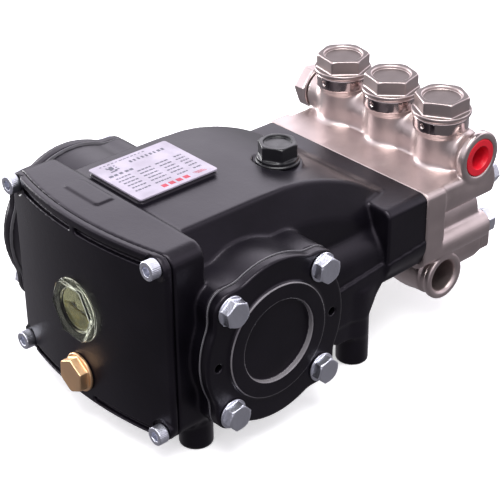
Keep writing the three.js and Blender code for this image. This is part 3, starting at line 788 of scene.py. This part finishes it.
def build_crankshaft():
    """The keyed crankshaft, a hair slim where the CAD's flat-sided bores hold it."""
    grid = Grid((SHAFT_END, -27, -27), (SHAFT_BACK, 27, 27), 0.5)
    profile = [
        (0, SHAFT_END), (SHAFT_RADIUS - 1, SHAFT_END), (SHAFT_RADIUS, SHAFT_END + 1),
        (SHAFT_RADIUS, -86.6), (SEAT_RADIUS, -86.6), (SEAT_RADIUS, -69.7), (18, -69.7),
        (18, -64), (14, -64), (14, 46.8), (18, 46.8), (18, 50.2), (SEAT_RADIUS, 50.2),
        (SEAT_RADIUS, SHAFT_BACK), (0, SHAFT_BACK),
    ]
    shaft = turned(grid, "X", (0, 0), profile)
    for k, x in enumerate(CYLINDERS):
        angle = 2 * math.pi * k / 3
        centre = (CRANK_THROW * math.cos(angle), CRANK_THROW * math.sin(angle))
        eccentric = rod(grid, "X", centre, ECCENTRIC_RADIUS, x - 7.5, x + 7.5, edge=0.5)
        shaft = np.minimum(shaft, eccentric)
    slot = np.maximum(slab(grid.x, -132, -101.2), slab(grid.y, -4.3, 4.3))
    shaft = carve(shaft, np.maximum(slot, 8 - grid.z))
    made = from_field("crankshaft_steel", grid, shaft, STEEL)
    settle(made, "steel", "crankshaft", body="crankshaft_body")


# ---- Wet end ----
def wet_end_field(grid, face):
    """The manifold: plate, core, bolt bosses, valve chambers, galleries and ports."""
    plate = meet(flange_outline(grid, 4.0), slab(grid.y, face - 9, 137), 0.3)
    core_side = [
        (130, -14), (130, FLANGE_TOP), (151, FLANGE_TOP), (OUTLET_Y, OUTLET_Z + 8),
        (172, OUTLET_Z), (176, 28), (176, -14),
    ]
    core = meet(polygon(grid.y, grid.z, core_side), np.abs(grid.x) - 52, 1.5)
    shelf = rounded_rectangle(grid.x, grid.z, (-62, SHELF_LOW), (SHELF_END, FLANGE_TOP), 4)
    shelf = meet(shelf, slab(grid.y, face - 9, WET_FRONT), 1.5)
    block = np.minimum(np.minimum(plate, core), shelf)
    for x in CYLINDERS:
        chamber = rod(grid, "Y", (x, 0), 19, face, WET_FRONT - 4, edge=1)
        block = blend(block, chamber, fillet=2.5)
    for at in WET_BOLTS:
        block = blend(block, rod(grid, "Y", at, 8.5, face, WET_FRONT, edge=0.6), fillet=2.0)
    for x in CYLINDERS:
        inlet = rod(grid, "Y", (x, INLET_VALVE_Z), 15.3, INLET_Y - 8, INLET_FRONT, edge=0.6)
        block = blend(block, inlet, fillet=2.5)
    gallery = rod(grid, "X", OUTLET, 12.4, -62, 52, edge=1)
    block = blend(block, gallery, fillet=4.0)
    supply = rod(grid, "X", INLET, 13.6, -INLET_X + 2, 54, edge=1)
    block = blend(block, supply, fillet=3.0)
    for x in CYLINDERS:
        neck = rod(grid, "Z", (x, TURRET_Y), 13, 10, COLLAR_TOP - 2)
        block = blend(block, neck, fillet=4.0)
        lip = rod(grid, "Z", (x, TURRET_Y), 14, 49.4, COLLAR_TOP - 2, edge=0.8)
        block = blend(block, lip, fillet=0.8)
    for x in CYLINDERS:
        collar = rod(grid, "Z", (x, TURRET_Y), 15.6, COLLAR_LOW, COLLAR_TOP, edge=0.7)
        block = blend(block, collar, fillet=1.0)
    outlet_side = [
        (0, 40), (11.6, 40), (11.6, 56), (15, 60.2), (15, OUTLET_X - 1), (14, OUTLET_X),
        (0, OUTLET_X),
    ]
    block = blend(block, turned(grid, "X", OUTLET, outlet_side), fillet=1.5)
    inlet_side = [
        (0, 40), (12.2, 40), (12.2, 57.2), (14, 58.4), (14, INLET_X - 0.7), (13.3, INLET_X),
        (0, INLET_X),
    ]
    return blend(block, turned(grid, "X", INLET, inlet_side), fillet=1.0)


def build_wet_end():
    face = JOINT_Y + GAP
    low, high = (-FLANGE_HALF, face - 2, -45), (FLANGE_HALF + 0.5, INLET_FRONT, COLLAR_TOP)
    grid = Grid(low, high, 0.75)
    block = wet_end_field(grid, face)
    for x in CYLINDERS:
        turret, valve = (x, TURRET_Y), (x, INLET_VALVE_Z)
        holes = [
            ("Y", (x, 0), 13.8, face - 3, 141.3),
            ("Y", (x, 0), 11.5, 130, 170),
            ("Z", turret, 11, 24, 80),
            ("Y", valve, 11, 151, 190),
            ("Z", turret, 7, 0, 30),
            ("Y", valve, 7, 140, 155),
            ("Z", (x, 166), 5, INLET_VALVE_Z, 0),
        ]
        block = bored(grid, block, holes)
    holes = [
        ("X", OUTLET, 6, -70, 60), ("X", OUTLET, 8.3, 50, 70),
        ("X", OUTLET, 11, OUTLET_X - 1.8, 70, 0.3), ("X", OUTLET, 6.4, -70, -50),
        ("X", INLET, INLET_BORE, -46, 70),
    ]
    block = bored(grid, block, holes)
    around_inlet = np.hypot(grid.y - INLET_Y, grid.z - INLET_Z)
    chamfer = (around_inlet - grid.x + INLET_X - INLET_MOUTH) / 1.414
    block = carve(block, np.maximum(chamfer, 50 - grid.x))
    block = bored(grid, block, [("Y", at, BOLT_HOLE, face - 3, 190) for at in WET_BOLTS])
    block = np.maximum(block, face - 1.5 - grid.y)
    made = from_field("wet_end_casting", grid, block, WET_END_NICKEL)
    weep_holes = [("Y", (x, 56.2), 1.3, TURRET_Y - 20, TURRET_Y - 10) for x in CYLINDERS]
    drill(made, [("Y", (0, 0), JOINT_TOOL, face - 9, face), *weep_holes])
    settle(made, "nickel_plate", "wet_end_block")


# ---- Fasteners and caps ----
def hex_head(grid, flats, low, high, chamfer=0.95):
    """A hexagon head whose top corners are turned off outside a share of its width."""
    side = meet(hexagon(grid.x, grid.y, flats), slab(grid.z, low, high), 0.15)
    radius = np.hypot(grid.x, grid.y)
    cone = (radius - flats / 2 * chamfer) * 0.5 + (grid.z - high) * 0.866
    return np.maximum(side, cone)


def make_hex_bolt(name, washer_radius, shank):
    """An M8 bolt with its seat at the origin and its head towards +Z."""
    grid = Grid((-8, -8, -shank), (8, 8, 6.7), 0.4)
    washer = rod(grid, "Z", (0, 0), washer_radius, GAP, GAP + 1.1, edge=0.3)
    head = hex_head(grid, 13, GAP + 1, GAP + 6.4)
    stem = rod(grid, "Z", (0, 0), 4, -shank, 1.5)
    field = np.minimum(np.minimum(washer, head), stem)
    return from_field(name, grid, field, ZINC)


def make_socket_screw(name):
    """An M6 socket screw with a knurled head."""
    grid = Grid((-5, -5, -8), (5, 5, 6), 0.25)
    angle = np.arctan2(grid.y, grid.x)
    radius = np.hypot(grid.x, grid.y) + 0.12 * (1 + np.cos(36 * angle))
    head = meet(radius - 5.1, slab(grid.z, GAP, 6), 0.5)
    stem = rod(grid, "Z", (0, 0), 3, -8, 1)
    socket = np.maximum(hexagon(grid.x, grid.y, 5), 3 - grid.z)
    field = carve(np.minimum(head, stem), socket)
    return from_field(name, grid, field, ZINC)


def plug_field(grid, flange, head, fillet, stem_radius, stem_length):
    """A hexagon head blended into its flange, with a plain stem under it."""
    stem = rod(grid, "Z", (0, 0), stem_radius, -stem_length, 1)
    return np.minimum(blend(flange, head, fillet), stem)


def make_valve_cap(name, flats, flange_radius, shank):
    """A valve cap: hexagon with a round recess in its top."""
    top = CAP_TOP - COLLAR_TOP
    grid = Grid((-17, -17, -shank), (17, 17, top), 0.45)
    flange = rod(grid, "Z", (0, 0), flange_radius, GAP, 2.8, edge=0.5)
    head = hex_head(grid, flats, 2.4, top, 1.06)
    field = plug_field(grid, flange, head, 0.6, 10.5, shank)
    field = bored(grid, field, [("Z", (0, 0), flats * 0.4, top - 2.0, 30, 1.2)])
    return from_field(name, grid, field, CAP_NICKEL)


def build_fasteners():
    cover_bolt = make_hex_bolt("cover_bolt_pattern", WASHER_RADIUS, 12)
    wet_bolt = make_hex_bolt("wet_bolt_pattern", 6.5, 20)
    screw = make_socket_screw("cover_screw_pattern")
    outlet_cap = make_valve_cap("outlet_cap_pattern", 27, 16.8, 14)
    inlet_cap = make_valve_cap("inlet_cap_pattern", 25, 14.6, 16)
    turns = (12, 40, 75, 21, 50, 8, 33, 64)
    cap_turns = (20, 15, 2)

    def stand(prefix, name, k, pattern, direction, place, turn):
        node = f"{name}_{k + 1}"
        made = place_copy(prefix + node, pattern, seated(direction, place, turn))
        settle(made, "nickel_plate" if prefix == "hex_" else "zinc_steel", node)

    for k, (y, z) in enumerate(LUGS):
        stand("m8_", "blind_cover_bolt", k, cover_bolt, "+X", (BLIND_X, y, z), turns[k])
        stand("m8_", "shaft_cover_bolt", k, cover_bolt, "-X", (SHAFT_X, y, z), turns[k + 4])
    for k, (x, z) in enumerate(WET_BOLTS):
        stand("m8_", "wet_end_bolt", k, wet_bolt, "+Y", (x, WET_FRONT, z), turns[k])
    for k, (x, z) in enumerate(COVER_SCREWS):
        stand("m6_", "rear_cover_screw", k, screw, "-Y", (x, COVER_SCREW_Y, z), 15 * (k + 1))
    for k, x in enumerate(CYLINDERS):
        place = (x, TURRET_Y, COLLAR_TOP)
        stand("hex_", "outlet_valve_cap", k, outlet_cap, "+Z", place, cap_turns[k])
        place = (x, INLET_FRONT, INLET_VALVE_Z)
        stand("hex_", "inlet_valve_cap", k, inlet_cap, "+Y", place, 20 * (k + 1))
    for pattern in (cover_bolt, wet_bolt, screw, outlet_cap, inlet_cap):
        bpy.data.objects.remove(pattern)


def build_plugs():
    """The gallery plug, the red transport plug, the drain plug and the filler cap."""
    grid = Grid((-15, -15, -12), (15, 15, 8.8), 0.4)
    flange = rod(grid, "Z", (0, 0), 13, GAP - 1.7, 0.8, edge=0.4)
    head = hex_head(grid, 23, 0.5, 8.8, 1.04)
    stem = rod(grid, "Z", (0, 0), 6, -12, 0)
    field = np.minimum(blend(flange, head, 0.5), stem)
    place = seated("-X", (GALLERY_PLUG_X, *OUTLET), 10)
    made = seat_piece("gallery_plug", grid, field, NICKEL, place)
    settle(made, "nickel_plate", "outlet_gallery_plug")

    face = OUTLET_X
    low, high = (face - 11, OUTLET_Y - 12, OUTLET_Z - 12), (face, OUTLET_Y + 12, OUTLET_Z + 12)
    grid = Grid(low, high, 0.35)
    side = [
        (5.6, face - 11), (8, face - 11), (8, face - 1.5), (10.7, face - 1.5),
        (10.7, face - 0.1), (6.8, face - 0.1), (5.9, face - 3),
    ]
    field = turned(grid, "X", OUTLET, side)
    made = from_field("port_plug", grid, field, RED_PLASTIC)
    settle(made, "red_plastic", "outlet_port_plug", body="port_plug_body")

    grid = Grid((-11, -11, -11), (11, 11, 7), 0.35)
    flange = rod(grid, "Z", (0, 0), 10.7, 0, 1.8, edge=0.5)
    field = plug_field(grid, flange, hex_head(grid, 17, 1, 7, 1.06), 0.5, 6.5, 11)
    place = seated("-Y", (0, COVER_SEAT_Y, DRAIN_Z), -3)
    made = seat_piece("drain_plug_brass", grid, field, BRASS, place)
    settle(made, "brass", "drain_plug")

    grid = Grid((-12, -12, -8), (12, 12, 11.7), 0.4)
    flange = rod(grid, "Z", (0, 0), 12, GAP, 1.9, edge=0.5)
    ring = rod(grid, "Z", (0, 0), 11.2, 1, 4.0, edge=0.8)
    head = hex_head(grid, 19, 2, 11.7, 1.02)
    field = plug_field(grid, np.minimum(flange, ring), head, 0.6, 7.6, 8)
    field = bored(grid, field, [("Z", (0, 0), 7.6, 10.4, 30, 0.4)])
    place = seated("+Z", (*FILLER, FILLER_SEAT))
    made = seat_piece("filler_cap", grid, field, BLACK_PLASTIC, place)
    settle(made, "black_plastic", "oil_filler_cap", body="filler_cap_body")


def oil_material():
    """Yellow-brown gear oil with lighter streaks."""
    made = Finish("gear_oil", Base_Color=(0.2, 0.15, 0.012), Roughness=0.08)
    streaks = made.spread(made.noise(140, 2), 0.35, 0.65, 0, 1)
    dark, light = (0.14, 0.11, 0.004), (0.42, 0.29, 0.012)
    made.use("Base Color", made.mix(streaks, dark, light))
    made.set("Coat Weight", 0.6)
    return made.material


def clear_material():
    """Clear moulded plastic. The low index keeps what lies behind it easy to see."""
    made = Finish("clear_plastic", Base_Color=(0.45, 0.47, 0.38), Roughness=0.02)
    made.set("Specular IOR Level", 0.2)
    made.set("Transmission Weight", 1.0)
    made.set("IOR", 1.2)
    made.use("Roughness", made.spread(made.noise(300), 0.3, 0.7, 0.0, 0.05))
    return made.material


def build_sight_glass():
    """The clear hexagon lens, the dished reflector behind it and the oil between."""
    place = seated("-Y", (0, COVER_SEAT_Y, SIGHT_Z), 30)
    grid = Grid((-17.5, -17.5, -3), (17.5, 17.5, 3.6), 0.4)
    flange = rod(grid, "Z", (0, 0), 17.5, 0, 1.5, edge=0.3)
    nut = meet(hexagon(grid.x, grid.y, 29), slab(grid.z, 0.5, 3.5), 0.35)
    window = rod(grid, "Z", (0, 0), 12.1, -3, 2)
    lens = np.minimum(np.minimum(flange, nut), window)
    made = seat_piece("sight_glass_lens", grid, lens, clear_material(), place)
    settle(made, "clear_plastic", "sight_glass")

    grid = Grid((-12, -12, -5.5), (12, 12, -3.3), 0.35)
    around = np.hypot(grid.x, grid.y)
    height = -5.2 + 0.25 * np.abs(around - 4.5)
    dish = np.maximum(np.abs(grid.z - height) - 0.45, around - WINDOW_RADIUS)
    made = seat_piece("sight_glass_reflector", grid, dish, GOLD, place)
    settle(made, "clear_plastic")

    deep = COVER_SEAT_Y + 3.2
    grid = Grid((-12, deep, SIGHT_Z - 12), (12, deep + 1.4, SIGHT_Z + 2), 0.35)
    level = SIGHT_Z - 0.5 - 0.12 * grid.x
    oil = rod(grid, "Y", (0, SIGHT_Z), WINDOW_RADIUS, deep, deep + 1.2, edge=0.3)
    oil = meet(oil, grid.z - level, 0.3)
    settle(from_field("sight_glass_oil", grid, oil, oil_material()), "clear_plastic")


def flat_plate(name, low, high, bottom, top, radius, material):
    """A rounded rectangle with an eased upper edge, standing on a level."""
    ease = 0.2
    left, right = low[0] + radius, high[0] - radius
    near, far = low[1] + radius, high[1] - radius
    points = []
    for reach, z in ((radius, bottom), (radius, top - ease), (radius - ease, top)):
        for quarter, (x, y) in enumerate(((right, far), (left, far), (left, near), (right, near))):
            for k in range(7):
                angle = math.pi / 2 * (quarter + k / 6)
                points.append((x + reach * math.cos(angle), y + reach * math.sin(angle), z))
    count = len(points) // 3
    caps = [tuple(range(count))[::-1], tuple(range(2 * count, 3 * count))]
    return mesh_object(name, points, bands(count, [(0, 1), (1, 2)]) + caps, material, 30)


def flat_marks(name, marks, level, material):
    """Print: thin blocks on a level, one for each rectangle (x0, y0, x1, y1)."""
    block = bands(4, [(0, 1)]) + [(3, 2, 1, 0), (4, 5, 6, 7)]
    points, faces = [], []
    for x0, y0, x1, y1 in marks:
        faces += [tuple(len(points) + k for k in face) for face in block]
        for z in (level - 0.02, level + 0.04):
            points += [(x0, y0, z), (x1, y0, z), (x1, y1, z), (x0, y1, z)]
    settle(mesh_object(name, points, faces, material), "label_film")


def build_nameplate():
    """The film with grey bars for its print, a red bar and a block code."""
    bottom, top = NAMEPLATE_SEAT + GAP, NAMEPLATE_SEAT + 0.9 + GAP
    plate = flat_plate("nameplate_film", NAMEPLATE_LOW, NAMEPLATE_HIGH, bottom, top, 1.6, FILM)
    settle(plate, "label_film", "nameplate")
    draw = random.Random(7)
    marks = []
    for x in (1.5, -2.2, -5.4, -8.6, -11.8, -15.0):
        for start, end in ((-26, -16), (-13, -3), (0, 8), (11, 17)):
            y = start + draw.uniform(0, 1.5)
            while y < end:
                length = draw.uniform(0.9, 2.6)
                marks.append((x - 0.55, y, x + 0.55, min(y + length, end)))
                y += length + 0.5
    for y in (-26.5, -23.2, -20, -16.4, -13.6):
        marks.append((-20.0, y, -18.0, y + draw.uniform(2.0, 2.9)))
    for count, pitch, first, low, high, shortest, longest in (
        (9, 2.6, -8, -27.4, -25.2, 1.1, 1.9),
        (12, 2.5, -24, -31.2, -30.5, 1.0, 2.2),
    ):
        for k in range(count):
            y = first + pitch * k
            marks.append((low, y, high, y + draw.uniform(shortest, longest)))
    for column, row in itertools.product(range(6), range(6)):
        if draw.random() < 0.62:
            x, y = -28.4 + column, -22.4 + row
            marks.append((x, y, x + 0.98, y + 0.98))
    red = [(5.0, -12.5 + 4.7 * k, 8.0, -9.3 + 4.7 * k) for k in range(4)]
    red += [(5.2 + 0.9 * k, 8.5 + 0.8 * k, 5.6 + 0.9 * k, 14.5 + 0.8 * k) for k in range(3)]
    flat_marks("nameplate_print", marks, top, PRINT)
    flat_marks("nameplate_red_print", red, top, PRINT_RED)


build_crankcase()
build_rear_cover()
build_blind_cover()
build_shaft_cover()
build_gasket("blind_cover_gasket", BLIND_X - COVER_FLANGE - GAP, BLIND_X - COVER_FLANGE)
build_gasket("shaft_cover_gasket", SHAFT_X + COVER_FLANGE, SHAFT_X + COVER_FLANGE + GAP)
build_crankshaft()
build_wet_end()
build_fasteners()
build_plugs()
build_sight_glass()
build_nameplate()

# ---- Finishes of the CAD nodes that stay ----
FINISH_OF = {
    "bearing": STEEL,
    "shaft_oil_seal": RUBBER,
    "shaft_key": STEEL,
    "con_rod": ALUMINIUM,
    "crosshead": ALUMINIUM,
    "plunger_packing": RUBBER,
    "plunger": CERAMIC,
    "outlet_valve": STEEL,
    "inlet_valve": STEEL,
}
for node_name, node in frame["nodes"].items():
    if node.hide_render:
        continue
    key = max((k for k in FINISH_OF if node_name.startswith(k)), key=len)
    node.data.materials.clear()
    node.data.materials.append(FINISH_OF[key])


# ---- Camera, floor and light ----
def aimed(name, data, place, direction, roll=0.0):
    """A camera or a light at a place, looking in a direction."""
    made = new_object(name, data)
    made.location = place
    made.rotation_mode = "QUATERNION"
    upright = direction.to_track_quat("-Z", "Y")
    made.rotation_quaternion = upright @ Quaternion((0, 0, 1), -roll)
    return made


CAMERA_PLACE = Vector((0.57072, -0.48597, 0.48174))
CAMERA_FORWARD = Vector((-0.64973, 0.56712, -0.50619)).normalized()
CAMERA_ROLL = math.radians(0.68)
lens = bpy.data.cameras.new("camera")
lens.lens = 110.1
lens.sensor_width = 36.0
camera = aimed("camera", lens, CAMERA_PLACE, CAMERA_FORWARD, CAMERA_ROLL)
bpy.context.scene.camera = camera

floor_finish = Finish("floor", Base_Color=(0.9, 0.9, 0.9), Roughness=0.6)
floor_finish.set("Emission Color", (1, 1, 1))
floor_finish.set("Emission Strength", 0.5)
FLOOR_HALF = 4.0
corner_signs = ((-1, -1), (1, -1), (1, 1), (-1, 1))
floor_corners = [(FLOOR_HALF * x, FLOOR_HALF * y, 0) for x, y in corner_signs]
floor_mesh = bpy.data.meshes.new("floor")
floor_mesh.from_pydata(floor_corners, [], [(0, 1, 2, 3)])
floor_mesh.materials.append(floor_finish.material)
floor = new_object("floor", floor_mesh)
# The floor takes shadows but doesn't light the pump from below: the studio does that.
floor.visible_glossy = False
floor.visible_diffuse = False


def soft_box(name, place, size, power):
    """A square studio light aimed at the pump."""
    light = bpy.data.lights.new(name, "AREA")
    light.shape = "SQUARE"
    light.size = size
    light.energy = power
    aimed(name, light, place, Vector((0, 0, 0.05)) - Vector(place))


# How bright the studio is at each share of the height, from straight down to straight up.
STUDIO_BANDS = ((0.46, 0.2), (0.56, 0.6), (0.66, 1.1), (0.74, 1.7), (0.83, 1.3), (0.9, 0.3))


def build_studio():
    """A pale room, brighter at some heights and on the side that the camera faces."""
    world = bpy.data.worlds.new("studio")
    world.use_nodes = True
    studio = Tree(world.node_tree)
    background = world.node_tree.nodes["Background"]
    direction = studio.add("ShaderNodeTexCoord").outputs["Generated"]
    height = studio.spread(studio.parts(direction)[2], -1, 1, 0, 1)
    rise = studio.add("ShaderNodeValToRGB")
    studio.link(height, rise.inputs["Fac"])
    ramp = rise.color_ramp
    while len(ramp.elements) < len(STUDIO_BANDS):
        ramp.elements.new(0.5)
    for stop, (share, level) in zip(ramp.elements, STUDIO_BANDS):
        stop.position = share
        stop.color = (level, 0.96 * level, 1.05 * level, 1)
    facing = studio.add("ShaderNodeVectorMath", operation="DOT_PRODUCT")
    facing.inputs[1].default_value = (0.75, -0.66, 0.0)
    studio.link(direction, facing.inputs[0])
    side = studio.spread(facing.outputs["Value"], -0.9, 0.2, 1.9, 0.8)
    studio.link(rise.outputs["Color"], background.inputs["Color"])
    studio.link(side, background.inputs["Strength"])
    bpy.context.scene.world = world


soft_box("top_light", (0.35, -0.25, 1.4), 1.0, 24)
soft_box("left_light", (-1.5, -0.25, 0.2), 0.8, 20)
build_studio()
bpy.context.scene.view_settings.view_transform = "Standard"
